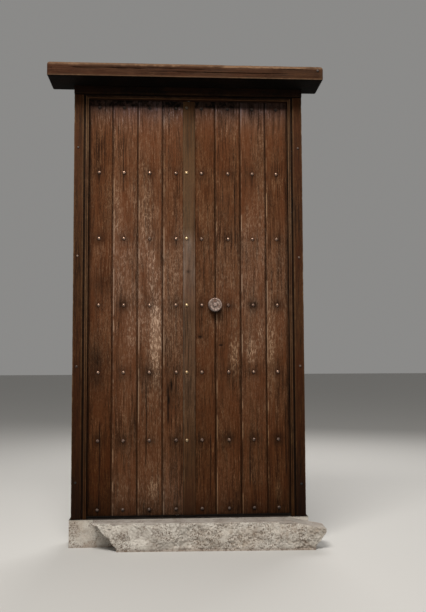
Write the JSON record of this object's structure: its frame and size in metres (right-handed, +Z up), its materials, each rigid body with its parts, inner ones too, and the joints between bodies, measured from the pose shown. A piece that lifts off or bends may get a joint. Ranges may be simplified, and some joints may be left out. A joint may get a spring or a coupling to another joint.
{
  "type": "double plank door with frame",
  "caption": "Square-headed double-leaf plank door hung in a timber frame, with nail-studded boards, a pull knob, a lintel beam and a rough stone threshold.",
  "frame": {"origin": "middle of the meeting line of the two leaves, on the plane of the frame's front face, at the underside of the threshold stone", "axes": "+X to the right as seen from outside, +Y through the doorway into the building, +Z up"},
  "size_m": [1.347, 0.2626, 2.351],
  "materials": {
    "board_wood": "weathered brown stain",
    "frame_wood": "weathered dark stain",
    "lintel_wood": "weathered dark stain, grey on top",
    "strip_wood": "smooth grey-brown",
    "ledge_wood": "plain sawn wood",
    "stone": "rough pale limestone, worn smooth on top",
    "iron_nail": "dark forged iron",
    "brass_nail": "dull brass",
    "hinge_iron": "black forged iron",
    "bolt_steel": "worn steel",
    "knob_iron": "mottled worn iron"
  },
  "bodies": {
    "frame": {"frame_head": "frame_wood", "jamb_left": "frame_wood", "jamb_nails": "iron_nail", "jamb_right": "frame_wood", "keep_nails": "iron_nail", "lintel_beam": "lintel_wood", "lintel_nail": "iron_nail", "pintles_left": "hinge_iron", "pintles_right": "hinge_iron", "stop_head": "frame_wood", "stop_left": "frame_wood", "stop_right": "frame_wood", "threshold_stone": "stone", "top_bolt_keep": "bolt_steel"},
    "left_leaf": {"bottom_bolt_loops": "bolt_steel", "cover_strip": "strip_wood", "cross_bolt_keeper": "bolt_steel", "left_iron_nails": "iron_nail", "left_ledge_1": "ledge_wood", "left_ledge_2": "ledge_wood", "left_ledge_3": "ledge_wood", "left_ledge_4": "ledge_wood", "left_ledge_5": "ledge_wood", "left_ledge_6": "ledge_wood", "left_ledge_7": "ledge_wood", "left_plank_nails": "iron_nail", "left_strap_1": "hinge_iron", "left_strap_2": "hinge_iron", "left_strap_3": "hinge_iron", "plank_1": "board_wood", "plank_2": "board_wood", "plank_3": "board_wood", "plank_4": "board_wood", "strip_nails": "brass_nail", "top_bolt_loops": "bolt_steel"},
    "right_leaf": {"cross_bolt_loops": "bolt_steel", "knob_nut": "bolt_steel", "knob_washer": "bolt_steel", "plank_5": "board_wood", "plank_6": "board_wood", "plank_7": "board_wood", "plank_8": "board_wood", "pull_knob": "knob_iron", "right_iron_nails": "iron_nail", "right_ledge_1": "ledge_wood", "right_ledge_2": "ledge_wood", "right_ledge_3": "ledge_wood", "right_ledge_4": "ledge_wood", "right_ledge_5": "ledge_wood", "right_ledge_6": "ledge_wood", "right_ledge_7": "ledge_wood", "right_plank_nails": "iron_nail", "right_strap_1": "hinge_iron", "right_strap_2": "hinge_iron", "right_strap_3": "hinge_iron"},
    "top_bolt": {"top_bolt": "bolt_steel"},
    "bottom_bolt": {"bottom_bolt": "bolt_steel"},
    "cross_bolt": {"cross_bolt": "bolt_steel"}
  },
  "joints": [
    {"name": "right_leaf_hinge", "type": "hinge", "parent": "frame", "child": "right_leaf", "pos_m": [0.546, 0.0845, 1.1705], "axis": [0, 0, -1], "range_deg": [0, 100]},
    {"name": "left_leaf_hinge", "type": "hinge", "parent": "frame", "child": "left_leaf", "pos_m": [-0.546, 0.0845, 1.1705], "axis": [0, 0, 1], "range_deg": [0, 85]},
    {"name": "cross_bolt_slide", "type": "slide", "parent": "right_leaf", "child": "cross_bolt", "axis": [-1, 0, 0], "range_m": [0, 0.055]},
    {"name": "top_bolt_slide", "type": "slide", "parent": "left_leaf", "child": "top_bolt", "axis": [0, 0, 1], "range_m": [0, 0.055]},
    {"name": "bottom_bolt_slide", "type": "slide", "parent": "left_leaf", "child": "bottom_bolt", "axis": [0, 0, -1], "range_m": [0, 0.055]}
  ],
  "couplings": [
    {"joint": "left_leaf_hinge", "follows": "right_leaf_hinge", "ratio": 0.85}
  ]
}
